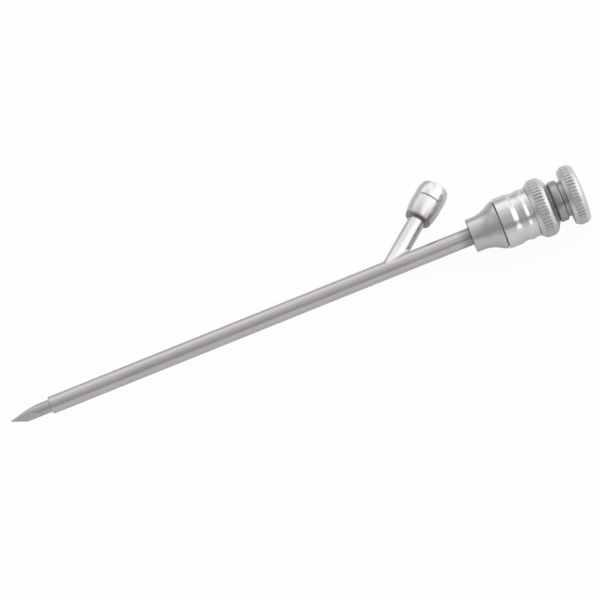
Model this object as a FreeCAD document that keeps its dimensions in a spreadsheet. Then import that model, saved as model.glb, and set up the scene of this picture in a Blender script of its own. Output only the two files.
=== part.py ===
"""Suction trocar: a cannula with a side arm, a packed gland and a three-sided obturator.

Millimetres. The origin is the centre of the cannula's distal end. +X runs along the cannula
to the knob, the side arm leans out on the +Y side, and +Z is up when the trocar lies flat.
"""

import FreeCAD, Part

import math
import os
import re

import Sketcher
from FreeCAD import Placement, Rotation, Vector

# Driving dimensions, in millimetres, degrees and counts
SIZES = {
    # obturator rod and its point
    "rod_diameter": 3.6,
    "rod_clearance": 0.05,
    "point_reach": 12.0,
    "facet_angle": 11.4,
    "facet_count": 3,
    "point_turn": 47.5,
    "rod_seat": 3.2,
    "rod_end_chamfer": 0.3,
    # cannula tube
    "tube_wall": 0.65,
    "tube_tip_round": 0.35,
    "working_length": 126.0,
    "tube_seat": 5.0,
    # side arm
    "arm_setback": 24.5,
    "arm_angle": 43.5,
    "arm_bore": 3.65,
    "arm_wall": 0.55,
    "arm_length": 17.0,
    "arm_seat": 3.6,
    "arm_solder": 0.7,
    "port_hole_diameter": 3.2,
    # suction port at the end of the side arm
    "port_bore": 4.3,
    "port_foot_wall": 0.91,
    "port_foot_round": 0.35,
    "port_foot_rise": 0.46,
    "port_joint_diameter": 8.72,
    "port_cup_length": 6.65,
    "port_nose_wall": 1.0,
    "port_nose_length": 1.8,
    "port_joint_chamfer": 0.14,
    "ring_length": 4.6,
    "ring_swell": 0.06,
    "ring_swell_length": 1.0,
    "ring_mouth_diameter": 7.84,
    "ring_mouth_round": 0.12,
    "ring_mouth_chamfer": 0.35,
    "port_solder": 0.3,
    # hub cone
    "cone_collar_diameter": 9.66,
    "cone_collar_length": 2.0,
    "cone_edge_chamfer": 0.2,
    "flare_length": 4.6,
    "flare_diameter": 12.4,
    "cone_shoulder_length": 2.05,
    "cone_rear_diameter": 14.1,
    "seam_chamfer": 0.15,
    "spigot_diameter": 9.2,
    "spigot_length": 4.2,
    "pass_clearance": 0.3,
    "hub_solder": 0.35,
    # seam between cone and barrel
    "gasket_thickness": 0.25,
    "gasket_recess": 0.5,
    "thread_clearance": 0.05,
    # gland barrel
    "bead_diameter": 14.7,
    "bead_swell": 0.02,
    "barrel_edge_round": 0.3,
    "barrel_edge_rise": 0.3,
    "front_bead_length": 3.4,
    "groove_fall_length": 1.7,
    "groove_depth": 0.37,
    "groove_length": 0.65,
    "rear_bead_rise_length": 1.2,
    "rear_bead_height": 0.24,
    "rear_bead_length": 0.2,
    "shoulder_fall_length": 1.1,
    "shoulder_drop": 0.17,
    "spigot_gap": 0.3,
    "web_thickness": 1.6,
    "chamber_diameter": 8.4,
    "nut_thread_diameter": 11.8,
    "nut_gap": 0.2,
    # packing, follower and washers
    "packing_seat_thickness": 0.8,
    "packing_thickness": 1.45,
    "packing_chamfer": 0.2,
    "packing_clearance": 0.03,
    "follower_length": 2.15,
    "follower_stand": 0.4,
    "follower_clearance": 0.05,
    "washer_thickness": 0.6,
    "washer_diameter": 9.6,
    # gland nut
    "nut_face_diameter": 14.6,
    "nut_bevel_length": 1.45,
    "nut_band_diameter": 16.8,
    "nut_cavity": 4.5,
    "nut_end_wall": 1.8,
    "dome_edge_length": 1.85,
    "dome_edge_diameter": 14.7,
    "dome_length": 1.2,
    "dome_flat_diameter": 10.6,
    # stop collar and its neck
    "stop_gap": 0.05,
    "collar_diameter": 11.8,
    "collar_width": 2.5,
    "collar_round": 0.55,
    "neck_diameter": 10.3,
    "neck_length": 1.2,
    # knob
    "knob_face_diameter": 15.5,
    "knob_bevel_length": 1.3,
    "knob_diameter": 17.1,
    "knob_band_length": 1.4,
    "knob_edge_length": 1.8,
    "knob_edge_diameter": 14.9,
    "knob_crown": 0.6,
    # knurling of the nut and the knob
    "knurl_teeth": 50,
    "knurl_depth": 0.2,
    "knurl_half_angle": 56.0,
}

# Sizes worked out from the driving ones
ROD_R = "rod_diameter / 2"
BORE_R = f"({ROD_R} + rod_clearance)"
TUBE_R = f"({BORE_R} + tube_wall)"
PASS_R = f"({ROD_R} + pass_clearance)"
ARM_R = "(arm_bore / 2 + arm_wall)"
ARM_STATION = "(working_length - arm_setback)"
PORT_R = "port_bore / 2"
SADDLE_REACH = f"(2 * ({ARM_R} + {TUBE_R}) / sin(arm_angle))"
CONE_LENGTH = "(cone_collar_length + flare_length + cone_shoulder_length)"
SOCKET_DEPTH = "(spigot_length + spigot_gap)"
CHAMBER_FLOOR = f"({SOCKET_DEPTH} + web_thickness)"
CHAMBER_R = "chamber_diameter / 2"
STACK = "(packing_seat_thickness + 3 * packing_thickness + follower_length)"
NUT_LENGTH = "(nut_cavity + nut_end_wall)"

# Stations along the main axis
SEAM = f"(working_length + {CONE_LENGTH})"
BARREL_FRONT = f"({SEAM} + gasket_thickness)"
SEAT_FRONT = f"({BARREL_FRONT} + {CHAMBER_FLOOR})"
PACKING_FRONT = f"({SEAT_FRONT} + packing_seat_thickness)"
FOLLOWER_FRONT = f"({PACKING_FRONT} + 3 * packing_thickness)"
WASHER_FRONT = f"({FOLLOWER_FRONT} + follower_length)"
NUT_SEAT = f"({WASHER_FRONT} + washer_thickness)"
NUT_FRONT = f"({NUT_SEAT} - nut_cavity)"
NUT_REAR = f"({NUT_FRONT} + {NUT_LENGTH})"
COLLAR_FRONT = f"({NUT_REAR} + stop_gap)"
KNOB_FRONT = f"({COLLAR_FRONT} + collar_width + neck_length)"
ROD_END = f"({KNOB_FRONT} + rod_seat)"

# Stations inside the barrel, from its front face
BARREL_SHOULDER = f"({NUT_FRONT} - nut_gap - {BARREL_FRONT})"
BARREL_END = f"({CHAMBER_FLOOR} + {STACK} - follower_stand)"

doc = FreeCAD.newDocument("Trocar")
sheet = doc.addObject("Spreadsheet::Sheet", "Sizes")


def fill_sheet():
    """Put each driving dimension in a cell whose alias is its name."""
    for row, (name, value) in enumerate(SIZES.items(), start=1):
        sheet.set(f"A{row}", name)
        sheet.set(f"B{row}", str(value))
        sheet.setAlias(f"B{row}", name)
    doc.recompute()


def bound(text):
    """An expression in which each named size is read from the sheet."""
    return re.sub(r"[a-z]\w*_\w+", lambda found: f"Sizes.{found.group(0)}", text)


def value_of(text):
    return float(sheet.evalExpression(bound(text)))


def origin_plane(body, role):
    return next(f for f in body.Origin.OriginFeatures if f.Role == role)


def new_body(label, station="0"):
    """A body on the main axis, with its own origin at the given station."""
    body = doc.addObject("PartDesign::Body", label)
    body.Label = label
    body.setExpression("Placement.Base.x", bound(station))
    return body


def place_on_arm(thing, distance):
    """Turn a piece to the side arm's direction, a distance out from the main axis."""
    thing.Placement = Placement(Vector(), Rotation(Vector(0, 0, 1), value_of("arm_angle")))
    thing.setExpression("Placement.Rotation.Angle", bound("arm_angle"))
    thing.setExpression(
        "Placement.Base.x", bound(f"{ARM_STATION} + ({distance}) * cos(arm_angle)")
    )
    thing.setExpression("Placement.Base.y", bound(f"({distance}) * sin(arm_angle)"))


def new_sketch(body, name, role="XY_Plane"):
    sketch = body.newObject("Sketcher::SketchObject", name)
    sketch.AttachmentSupport = (origin_plane(body, role), [""])
    sketch.MapMode = "FlatFace"
    return sketch


def left_of(heading):
    return Vector(-heading.y, heading.x, 0)


def arc_about(centre, start, end, turn):
    """The shorter arc from start to end, and its heading at the end. A left turn is 1."""
    radius = (start - centre).Length
    middle = centre + ((start - centre) + (end - centre)).normalize() * radius
    outward = (end - centre).normalize()
    return Part.Arc(start, middle, end), left_of(outward) * turn, turn


def tangent_arc(start, end, heading):
    """The arc from start to end that leaves start along heading."""
    chord = end - start
    side = chord.dot(left_of(heading))
    centre = start + left_of(heading) * (chord.Length**2 / (2 * side))
    return arc_about(centre, start, end, 1 if side > 0 else -1)


def crown_arc(start, end):
    """The arc from start down to a point on the axis, with its centre on the axis."""
    rise = end.x - start.x
    radius = (start.y**2 + rise**2) / (2 * rise)
    return arc_about(Vector(end.x - radius, 0, 0), start, end, -1)


def draw_profile(sketch, corners):
    """Draw a closed outline whose corners are held by sizes of the sheet.

    A corner is two expressions, and a third entry makes the stretch that reaches it an arc:
    "smooth" carries on from the stretch before it, and "crown" has its centre on the axis.
    """
    points = [Vector(value_of(c[0]), value_of(c[1]), 0) for c in corners]
    pieces = []
    heading = None
    for number, point in enumerate(points):
        following = points[(number + 1) % len(points)]
        bend = (corners[(number + 1) % len(corners)] + ("line",))[2]
        turn = 1
        if bend == "line":
            heading = (following - point).normalize()
            shape = Part.LineSegment(point, following)
        elif bend == "crown":
            shape, heading, turn = crown_arc(point, following)
        else:
            shape, heading, turn = tangent_arc(point, following, heading)
        pieces.append((sketch.addGeometry(shape, False), turn > 0, bend))
    hold = []
    for number, (piece, forward, bend) in enumerate(pieces):
        first = 1 if forward else 2
        before, before_forward, _ = pieces[number - 1]
        last_of_before = 2 if before_forward else 1
        joint = "Tangent" if bend == "smooth" else "Coincident"
        hold.append(Sketcher.Constraint(joint, before, last_of_before, piece, first))
        if bend == "crown":
            hold.append(Sketcher.Constraint("PointOnObject", piece, 3, -1))
    sketch.addConstraint(hold)
    for number, (piece, forward, _) in enumerate(pieces):
        first = 1 if forward else 2
        for way, axis, text in (("X", -2, corners[number][0]), ("Y", -1, corners[number][1])):
            if text == "0":
                sketch.addConstraint(Sketcher.Constraint("PointOnObject", piece, first, axis))
                continue
            size = Sketcher.Constraint(f"Distance{way}", -1, 1, piece, first, value_of(text))
            where = sketch.addConstraint(size)
            sketch.setExpression(f"Constraints[{where}]", bound(text))


def revolve(body, corners, name="Profile"):
    """Turn an outline of (distance along the axis, radius) about the body's own X axis."""
    sketch = new_sketch(body, name)
    draw_profile(sketch, corners)
    turned = body.newObject("PartDesign::Revolution", "Turned")
    turned.Profile = sketch
    turned.ReferenceAxis = (sketch, ["H_Axis"])
    turned.Angle = 360
    body.Tip = turned
    doc.recompute()
    return turned


def repeat_about_axis(body, feature, sketch, axis, count):
    """Repeat a cut evenly round the main axis, and check that it took material away."""
    volume = body.Shape.Volume
    pattern = body.newObject("PartDesign::PolarPattern", "Round")
    pattern.Originals = [feature]
    pattern.Axis = (sketch, [axis])
    pattern.Angle = 360
    pattern.setExpression("Occurrences", bound(count))
    body.Tip = pattern
    doc.recompute()
    if not body.Shape.Volume < volume:
        raise RuntimeError(f"{body.Label}: the repeated cut takes nothing away")


def knurl(body, diameter, start, length):
    """Cut straight V grooves along a turned band, which leave the knurl's teeth."""
    volume = body.Shape.Volume
    root = f"({diameter} / 2 - knurl_depth)"
    brim = f"({diameter} / 2 + knurl_depth)"
    half_width = "(2 * knurl_depth * tan(knurl_half_angle))"
    sketch = new_sketch(body, "Groove", "YZ_Plane")
    sketch.setExpression("AttachmentOffset.Base.z", bound(start))
    draw_profile(sketch, [("0", root), (half_width, brim), (f"-{half_width}", brim)])
    groove = body.newObject("PartDesign::Pocket", "Tooth_gap")
    groove.Profile = sketch
    groove.Reversed = True
    groove.setExpression("Length", bound(length))
    body.Tip = groove
    doc.recompute()
    if not body.Shape.Volume < volume:
        raise RuntimeError(f"{body.Label}: the knurl groove takes nothing away")
    repeat_about_axis(body, groove, sketch, "N_Axis", "knurl_teeth")


def ring(label, station, inner, outer, length):
    """A plain turned ring of square section."""
    body = new_body(label, station)
    revolve(body, [("0", inner), ("0", outer), (length, outer), (length, inner)])
    return body


def cannula_tube():
    """Tube with a rounded distal end and the slanting suction hole under the side arm."""
    body = new_body("cannula_tube")
    end = "(working_length + tube_seat)"
    revolve(
        body,
        [
            ("0", BORE_R),
            ("0", f"({TUBE_R} - tube_tip_round)"),
            ("tube_tip_round", TUBE_R, "smooth"),
            (end, TUBE_R),
            (end, BORE_R),
        ],
    )
    volume = body.Shape.Volume
    hole = body.newObject("PartDesign::SubtractiveCylinder", "Suction_hole")
    hole.setExpression("Radius", bound("port_hole_diameter / 2"))
    hole.setExpression("Height", bound(f"2 * {TUBE_R} / sin(arm_angle)"))
    hole.AttachmentSupport = (origin_plane(body, "YZ_Plane"), [""])
    hole.MapMode = "FlatFace"
    hole.AttachmentOffset = Placement(Vector(), Rotation(Vector(0, 1, 0), value_of("arm_angle")))
    hole.setExpression("AttachmentOffset.Base.z", bound(ARM_STATION))
    hole.setExpression("AttachmentOffset.Rotation.Angle", bound("arm_angle"))
    body.Tip = hole
    doc.recompute()
    if not body.Shape.Volume < volume:
        raise RuntimeError("cannula_tube: the suction hole takes nothing away")
    return body


def side_arm_tube():
    """Tube of the side arm, coped to sit on the cannula."""
    blank = doc.addObject("PartDesign::Body", "Arm_blank")
    place_on_arm(blank, "0")
    end = "(arm_length + arm_seat)"
    revolve(
        blank, [("0", "arm_bore / 2"), ("0", ARM_R), (end, ARM_R), (end, "arm_bore / 2")]
    )
    cope = doc.addObject("Part::Cylinder", "Cope")
    cope.Placement = Placement(Vector(), Rotation(Vector(0, 1, 0), 90))
    cope.setExpression("Placement.Base.x", bound(f"{ARM_STATION} - {SADDLE_REACH}"))
    cope.setExpression("Radius", bound(TUBE_R))
    cope.setExpression("Height", bound(f"2 * {SADDLE_REACH}"))
    coped = doc.addObject("Part::Cut", "side_arm_tube")
    coped.Label = "side_arm_tube"
    coped.Base = blank
    coped.Tool = cope
    return coped


def side_arm_braze():
    """Solder fillet in the corner between the two tubes, the same size all round."""
    lean = math.radians(value_of("arm_angle"))
    reach = value_of(SADDLE_REACH)
    tube = Part.makeCylinder(
        value_of(TUBE_R), 2 * reach, Vector(-reach, 0, 0), Vector(1, 0, 0)
    )
    arm = Part.makeCylinder(
        value_of(ARM_R), value_of("arm_length"), Vector(), Vector(math.cos(lean), math.sin(lean), 0)
    )
    corner = tube.fuse(arm)
    saddle = [edge for edge in corner.Edges if edge.Curve.TypeId == "Part::GeomBSplineCurve"]
    filled = corner.makeFillet(value_of("arm_solder"), saddle)
    solder = doc.addObject("Part::Feature", "side_arm_braze")
    solder.Label = "side_arm_braze"
    solder.Shape = filled.cut(tube).cut(arm).Solids[0]
    solder.Placement = Placement(Vector(value_of(ARM_STATION), 0, 0), Rotation())
    return solder


def corner_solder(body, radius, leg):
    """A small fillet between a face at the body's origin and a tube that leaves it backwards."""
    revolve(
        body,
        [
            ("0", radius),
            (f"-{leg}", radius),
            ("0", f"({radius} + {leg})"),
        ],
    )
    return body


def port_socket():
    """Cup at the end of the side arm: seat for the tube, bore for the suction fitting, nose."""
    body = new_body("port_socket")
    place_on_arm(body, "arm_length")
    nose = f"({PORT_R} + port_nose_wall)"
    foot = f"({ARM_R} + port_foot_wall)"
    joint = "port_joint_diameter / 2"
    revolve(
        body,
        [
            ("0", ARM_R),
            ("0", foot),
            ("port_foot_round", f"({foot} + port_foot_rise)", "smooth"),
            ("(port_cup_length - port_joint_chamfer)", joint, "smooth"),
            ("port_cup_length", f"({joint} - port_joint_chamfer)"),
            ("port_cup_length", nose),
            ("(port_cup_length + port_nose_length)", nose),
            ("(port_cup_length + port_nose_length)", PORT_R),
            ("arm_seat", PORT_R),
            ("arm_seat", ARM_R),
        ],
    )
    return body


def port_ring():
    """Mouth ring that sits over the cup's nose and narrows to the mouth."""
    body = new_body("port_ring")
    place_on_arm(body, "(arm_length + port_cup_length)")
    nose = f"({PORT_R} + port_nose_wall)"
    joint = "port_joint_diameter / 2"
    mouth = "ring_mouth_diameter / 2"
    revolve(
        body,
        [
            ("0", nose),
            ("0", f"({joint} - port_joint_chamfer)"),
            ("port_joint_chamfer", joint),
            ("ring_swell_length", f"({joint} + ring_swell)"),
            ("(ring_length - ring_mouth_round)", mouth, "smooth"),
            ("ring_length", f"({mouth} - ring_mouth_round)", "smooth"),
            ("ring_length", f"({PORT_R} + ring_mouth_chamfer)"),
            ("(ring_length - ring_mouth_chamfer)", PORT_R),
            ("port_nose_length", PORT_R),
            ("port_nose_length", nose),
        ],
    )
    return body


def hub_cone():
    """Cone that carries the cannula's end: flat face, short collar, flare, and threaded nose."""
    body = new_body("hub_cone", "working_length")
    collar = "cone_collar_diameter / 2"
    flare_end = "(cone_collar_length + flare_length)"
    rear = "cone_rear_diameter / 2"
    spigot = "spigot_diameter / 2"
    end = f"({CONE_LENGTH} + spigot_length)"
    revolve(
        body,
        [
            ("0", TUBE_R),
            ("0", f"({collar} - cone_edge_chamfer)"),
            ("cone_edge_chamfer", collar),
            ("cone_collar_length", collar),
            (flare_end, "flare_diameter / 2", "smooth"),
            (f"({CONE_LENGTH} - seam_chamfer)", rear, "smooth"),
            (CONE_LENGTH, f"({rear} - seam_chamfer)"),
            (CONE_LENGTH, spigot),
            (end, spigot),
            (end, PASS_R),
            ("tube_seat", PASS_R),
            ("tube_seat", TUBE_R),
        ],
    )
    return body


def hub_gasket():
    """Sealing washer in the seam, set back from the surface so that the seam reads as a line."""
    inner = "(spigot_diameter / 2 + thread_clearance)"
    outer = "(cone_rear_diameter / 2 - gasket_recess)"
    return ring("hub_gasket", SEAM, inner, outer, "gasket_thickness")


def gland_barrel():
    """Two-beaded barrel: socket for the cone's nose, packing chamber, and nose for the nut."""
    body = new_body("gland_barrel", BARREL_FRONT)
    bead = "bead_diameter / 2"
    groove = f"({bead} - groove_depth)"
    rear_bead = f"({groove} + rear_bead_height)"
    shoulder = f"({rear_bead} - shoulder_drop)"
    groove_start = "(front_bead_length + groove_fall_length)"
    groove_end = f"({groove_start} + groove_length)"
    rear_bead_start = f"({groove_end} + rear_bead_rise_length)"
    rear_bead_end = f"({rear_bead_start} + rear_bead_length)"
    shoulder_start = f"({rear_bead_end} + shoulder_fall_length)"
    socket = "(spigot_diameter / 2 + thread_clearance)"
    revolve(
        body,
        [
            ("0", socket),
            ("0", f"({bead} - barrel_edge_rise)"),
            ("barrel_edge_round", f"({bead} - bead_swell)", "smooth"),
            ("front_bead_length", bead),
            (f"({groove_start} - groove_fall_length / 2)", f"({bead} - groove_depth / 2)", "smooth"),
            (groove_start, groove, "smooth"),
            (groove_end, groove),
            (
                f"({rear_bead_start} - rear_bead_rise_length / 2)",
                f"({rear_bead} - rear_bead_height / 2)",
                "smooth",
            ),
            (rear_bead_start, rear_bead, "smooth"),
            (rear_bead_end, rear_bead),
            (
                f"({shoulder_start} - shoulder_fall_length / 2)",
                f"({rear_bead} - shoulder_drop / 2)",
                "smooth",
            ),
            (shoulder_start, shoulder, "smooth"),
            (BARREL_SHOULDER, shoulder),
            (BARREL_SHOULDER, "nut_thread_diameter / 2"),
            (BARREL_END, "nut_thread_diameter / 2"),
            (BARREL_END, CHAMBER_R),
            (CHAMBER_FLOOR, CHAMBER_R),
            (CHAMBER_FLOOR, PASS_R),
            (SOCKET_DEPTH, PASS_R),
            (SOCKET_DEPTH, socket),
        ],
    )
    return body


def packing_ring(label, place):
    """One of the soft rings, with its edges cut off, that grip the rod and fill the chamber."""
    body = new_body(label, f"({PACKING_FRONT} + {place} * packing_thickness)")
    inner = f"({ROD_R} + packing_clearance)"
    cut = "packing_chamfer"
    end = "packing_thickness"
    revolve(
        body,
        [
            ("0", f"({inner} + {cut})"),
            ("0", f"({CHAMBER_R} - {cut})"),
            (cut, CHAMBER_R),
            (f"({end} - {cut})", CHAMBER_R),
            (end, f"({CHAMBER_R} - {cut})"),
            (end, f"({inner} + {cut})"),
            (f"({end} - {cut})", inner),
            (cut, inner),
        ],
    )
    return body


def gland_follower():
    """Sleeve that the nut presses on the packing."""
    outer = f"({CHAMBER_R} - follower_clearance)"
    return ring("gland_follower", FOLLOWER_FRONT, PASS_R, outer, "follower_length")


def gland_nut():
    """Domed nut: bevelled front, knurled band, rounded dome edge, flat where the rod passes."""
    body = new_body("gland_nut", NUT_FRONT)
    thread = "(nut_thread_diameter / 2 + thread_clearance)"
    band = "nut_band_diameter / 2"
    dome_edge = f"({NUT_LENGTH} - dome_length)"
    dome_start = f"({dome_edge} - dome_edge_length)"
    revolve(
        body,
        [
            ("0", thread),
            ("0", "nut_face_diameter / 2"),
            ("nut_bevel_length", band),
            (dome_start, band),
            (dome_edge, "dome_edge_diameter / 2", "smooth"),
            (NUT_LENGTH, "dome_flat_diameter / 2"),
            (NUT_LENGTH, PASS_R),
            ("nut_cavity", PASS_R),
            ("nut_cavity", thread),
        ],
    )
    knurl(body, "nut_band_diameter", "0", dome_edge)
    return body


def obturator_rod():
    """Rod ground to a point by flat facets that meet on the axis."""
    body = new_body("obturator_rod", "-point_reach")
    length = f"(point_reach + {ROD_END})"
    revolve(
        body,
        [
            ("0", "0"),
            ("0", ROD_R),
            (f"({length} - rod_end_chamfer)", ROD_R),
            (length, f"({ROD_R} - rod_end_chamfer)"),
            (length, "0"),
        ],
    )
    volume = body.Shape.Volume
    high = "rod_diameter"
    sketch = new_sketch(body, "Facet")
    draw_profile(sketch, [("0", "0"), (f"({high} / tan(facet_angle))", high), ("0", high)])
    facet = body.newObject("PartDesign::Pocket", "Ground_facet")
    facet.Profile = sketch
    facet.SideType = "Symmetric"
    facet.setExpression("Length", bound("2 * rod_diameter"))
    body.Tip = facet
    doc.recompute()
    if not body.Shape.Volume < volume:
        raise RuntimeError("obturator_rod: the facet takes nothing away")
    repeat_about_axis(body, facet, sketch, "H_Axis", "facet_count")
    body.Placement = Placement(body.Placement.Base, Rotation(Vector(1, 0, 0), 1))
    body.setExpression("Placement.Rotation.Angle", bound("point_turn"))
    return body


def stop_collar():
    """Flange that stops against the nut, with the neck that carries the knob."""
    body = new_body("stop_collar", COLLAR_FRONT)
    flange = "collar_diameter / 2"
    neck = "neck_diameter / 2"
    soft = "collar_round"
    end = "(collar_width + neck_length)"
    revolve(
        body,
        [
            ("0", ROD_R),
            ("0", f"({flange} - {soft})"),
            (soft, flange, "smooth"),
            (f"(collar_width - {soft})", flange),
            ("collar_width", f"({flange} - {soft})", "smooth"),
            ("collar_width", neck),
            (end, neck),
            (end, ROD_R),
        ],
    )
    return body


def knob():
    """Knurled knob with a bevel in front, a polished edge behind and a slightly crowned end."""
    body = new_body("knob", KNOB_FRONT)
    band = "knob_diameter / 2"
    band_end = "(knob_bevel_length + knob_band_length)"
    edge_end = f"({band_end} + knob_edge_length)"
    revolve(
        body,
        [
            ("0", ROD_R),
            ("0", "knob_face_diameter / 2"),
            ("knob_bevel_length", band),
            (band_end, band),
            (edge_end, "knob_edge_diameter / 2", "smooth"),
            (f"({edge_end} + knob_crown)", "0", "crown"),
            ("rod_seat", "0"),
            ("rod_seat", ROD_R),
        ],
    )
    knurl(body, "knob_diameter", "0", edge_end)
    return body


def build():
    fill_sheet()
    pieces = [cannula_tube(), side_arm_tube(), side_arm_braze()]
    pieces += [port_socket(), port_ring()]
    foot_solder = new_body("port_braze")
    place_on_arm(foot_solder, "arm_length")
    pieces.append(corner_solder(foot_solder, ARM_R, "port_solder"))
    pieces.append(hub_cone())
    pieces.append(corner_solder(new_body("hub_braze", "working_length"), TUBE_R, "hub_solder"))
    pieces += [hub_gasket(), gland_barrel()]
    pieces.append(ring("packing_seat", SEAT_FRONT, PASS_R, CHAMBER_R, "packing_seat_thickness"))
    for place, name in enumerate(("front", "middle", "rear")):
        pieces.append(packing_ring(f"packing_ring_{name}", place))
    pieces.append(gland_follower())
    washer_r = "washer_diameter / 2"
    pieces.append(ring("thrust_washer", WASHER_FRONT, PASS_R, washer_r, "washer_thickness"))
    pieces += [gland_nut(), obturator_rod(), stop_collar(), knob()]
    doc.recompute()
    return pieces


def check(pieces):
    """Stop before anything is written if an object failed or a piece isn't one sound solid."""
    for thing in doc.Objects:
        if "Invalid" in thing.State or "Error" in thing.State:
            raise RuntimeError(f"{thing.Label} failed: {thing.State}")
    for piece in pieces:
        shape = piece.Shape
        if shape.isNull() or not shape.isValid() or len(shape.Solids) != 1:
            raise RuntimeError(f"{piece.Label} is not one sound solid")


pieces = build()
check(pieces)
os.makedirs("parts", exist_ok=True)
for piece in pieces:
    piece.Shape.exportStep(f"parts/{piece.Label}.step")
    box = piece.Shape.BoundBox
    print(
        f"{piece.Label:22s} {piece.Shape.Volume:9.2f} mm3  x {box.XMin:8.2f} {box.XMax:8.2f}"
        f"  y {box.YMin:7.2f} {box.YMax:7.2f}  z {box.ZMin:7.2f} {box.ZMax:7.2f}"
    )
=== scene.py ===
import math

import bmesh
import bpy
from mathutils import Matrix, Vector


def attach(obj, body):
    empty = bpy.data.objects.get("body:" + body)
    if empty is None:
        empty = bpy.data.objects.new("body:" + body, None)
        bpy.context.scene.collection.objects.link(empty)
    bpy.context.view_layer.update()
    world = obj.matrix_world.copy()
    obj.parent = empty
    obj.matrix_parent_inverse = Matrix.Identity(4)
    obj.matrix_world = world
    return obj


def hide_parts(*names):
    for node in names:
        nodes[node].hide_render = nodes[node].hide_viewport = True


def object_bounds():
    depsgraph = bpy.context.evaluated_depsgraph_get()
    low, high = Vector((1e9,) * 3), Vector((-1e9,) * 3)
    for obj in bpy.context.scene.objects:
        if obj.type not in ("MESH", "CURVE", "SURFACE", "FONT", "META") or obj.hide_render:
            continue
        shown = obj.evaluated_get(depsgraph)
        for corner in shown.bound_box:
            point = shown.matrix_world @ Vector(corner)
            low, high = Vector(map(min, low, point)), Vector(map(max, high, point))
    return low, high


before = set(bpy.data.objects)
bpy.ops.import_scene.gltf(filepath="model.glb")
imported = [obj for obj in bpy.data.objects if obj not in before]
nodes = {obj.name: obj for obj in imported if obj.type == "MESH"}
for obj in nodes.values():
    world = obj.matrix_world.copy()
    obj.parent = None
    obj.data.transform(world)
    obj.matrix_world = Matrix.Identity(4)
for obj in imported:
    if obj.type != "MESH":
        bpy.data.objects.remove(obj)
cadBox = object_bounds()
print("frame loaded")

# all sizes of pieces are in millimetres, and the same as the solids have, apart from the small
# rounds on edges and the side arm's outside, where the solids have 2.375 and the photograph
# shows it wider
mm = 0.001
rodRadius = 1.8
tubeRadius = 2.5
tubeBore = 1.85
passRadius = 2.1
armRadius = 2.47
armBore = 1.825
armAngle = math.radians(43.5)
armStation = 101.5
armLength = 17.0
portBore = 2.15
# where each piece starts along the cannula's axis
stations = {
    "cone": 126.0,
    "barrel": 134.9,
    "nut": 144.4,
    "collar": 150.75,
    "knob": 154.45,
}
# the knurled bands: their radius, and from where to where grime lies along the cannula's axis,
# a little past the band on both sides
bands = {
    "nut": {"radius": 8.4, "start": 145.6, "end": 148.2},
    "knob": {"radius": 8.55, "start": 155.45, "end": 157.6},
}
knurlDepth = 0.2
# steps round a turned piece, and the radius under which a point counts as on the axis
ringSteps = 144
onAxis = 1e-6


# outlines, as x and radius of a profile that is turned about the X axis
def tangentArc(start, end, heading, step=math.radians(6)):
    # points of the arc that leaves start along heading and reaches end, and its last heading
    straight = 1e-9
    chord = end - start
    left = Vector((-heading.y, heading.x))
    side = chord.dot(left)
    if abs(side) < straight * chord.length:
        return [end], heading
    radius = chord.length_squared / (2 * side)
    centre = start + left * radius
    turn = 2 * math.asin(max(-1.0, min(1.0, chord.length / (2 * abs(radius)))))
    turn *= math.copysign(1, side)
    count = max(2, math.ceil(abs(turn) / step))
    arm = start - centre
    points = []
    for i in range(1, count + 1):
        points.append(centre + Matrix.Rotation(turn * i / count, 2) @ arm)
    points[-1] = end
    return points, Matrix.Rotation(turn, 2) @ heading


def outlineOf(corners):
    # corners are x, r and, where an arc carries on from the stretch before it, "smooth"
    points = [Vector(corners[0][:2])]
    heading = None
    for corner in corners[1:]:
        end = Vector(corner[:2])
        if len(corner) > 2:
            arc, heading = tangentArc(points[-1], end, heading)
            points += arc
        else:
            heading = (end - points[-1]).normalized()
            points.append(end)
    return points


def ogee(end, width, before, after):
    # the corners of the two arcs that lead from one radius to the next and stop at end
    return [(end - width / 2, (before + after) / 2, "smooth"), (end, after, "smooth")]


def softened(points, radius, turn=math.radians(20)):
    # breaks each sharp corner of a closed outline with a small round, as a turner's file does
    steepest = 1.6
    mostOfSide = 0.3
    leastCut = 1e-4
    beyond = 2
    made = []
    for i, here in enumerate(points):
        before = points[i - 1]
        after = points[(i + 1) % len(points)]
        into = (here - before).normalized()
        out = (after - here).normalized()
        angle = into.angle(out, 0)
        room = min((here - before).length, (after - here).length)
        cut = min(radius * math.tan(min(angle, steepest) / 2), room * mostOfSide)
        if angle < turn or cut < leastCut or here.y < onAxis:
            made.append(here)
            continue
        first = here - into * cut
        last = here + out * cut
        # a further point on each long side keeps the shading of that side flat
        if (here - before).length > 2 * beyond * cut:
            made.append(here - into * cut * beyond)
        for share in (0, 0.25, 0.5, 0.75, 1):
            made.append(first.lerp(here, share).lerp(here.lerp(last, share), share))
        if (after - here).length > 2 * beyond * cut:
            made.append(here + out * cut * beyond)
    return made


# meshes
def polar(x, radius, angle):
    # a point that far along the X axis, out from it and round it
    return Vector((x, radius * math.cos(angle), radius * math.sin(angle)))


def linked(name, data):
    thing = bpy.data.objects.new(name, data)
    bpy.context.scene.collection.objects.link(thing)
    return thing


def withModifiers(thing):
    # the mesh that a thing's modifiers make of it
    bpy.context.view_layer.update()
    view = bpy.context.evaluated_depsgraph_get()
    return bpy.data.meshes.new_from_object(thing.evaluated_get(view))


def joinRings(build, rings, around=True):
    # faces between each ring of points and the next, but none along the axis
    following = rings[1:] + rings[:1] if around else rings[1:]
    for ring, after in zip(rings, following):
        for i in range(len(ring)):
            j = (i + 1) % len(ring)
            corners = (ring[i], ring[j], after[j], after[i])
            if max(corner.co.yz.length for corner in corners) > onAxis:
                build.faces.new(corners)


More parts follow.
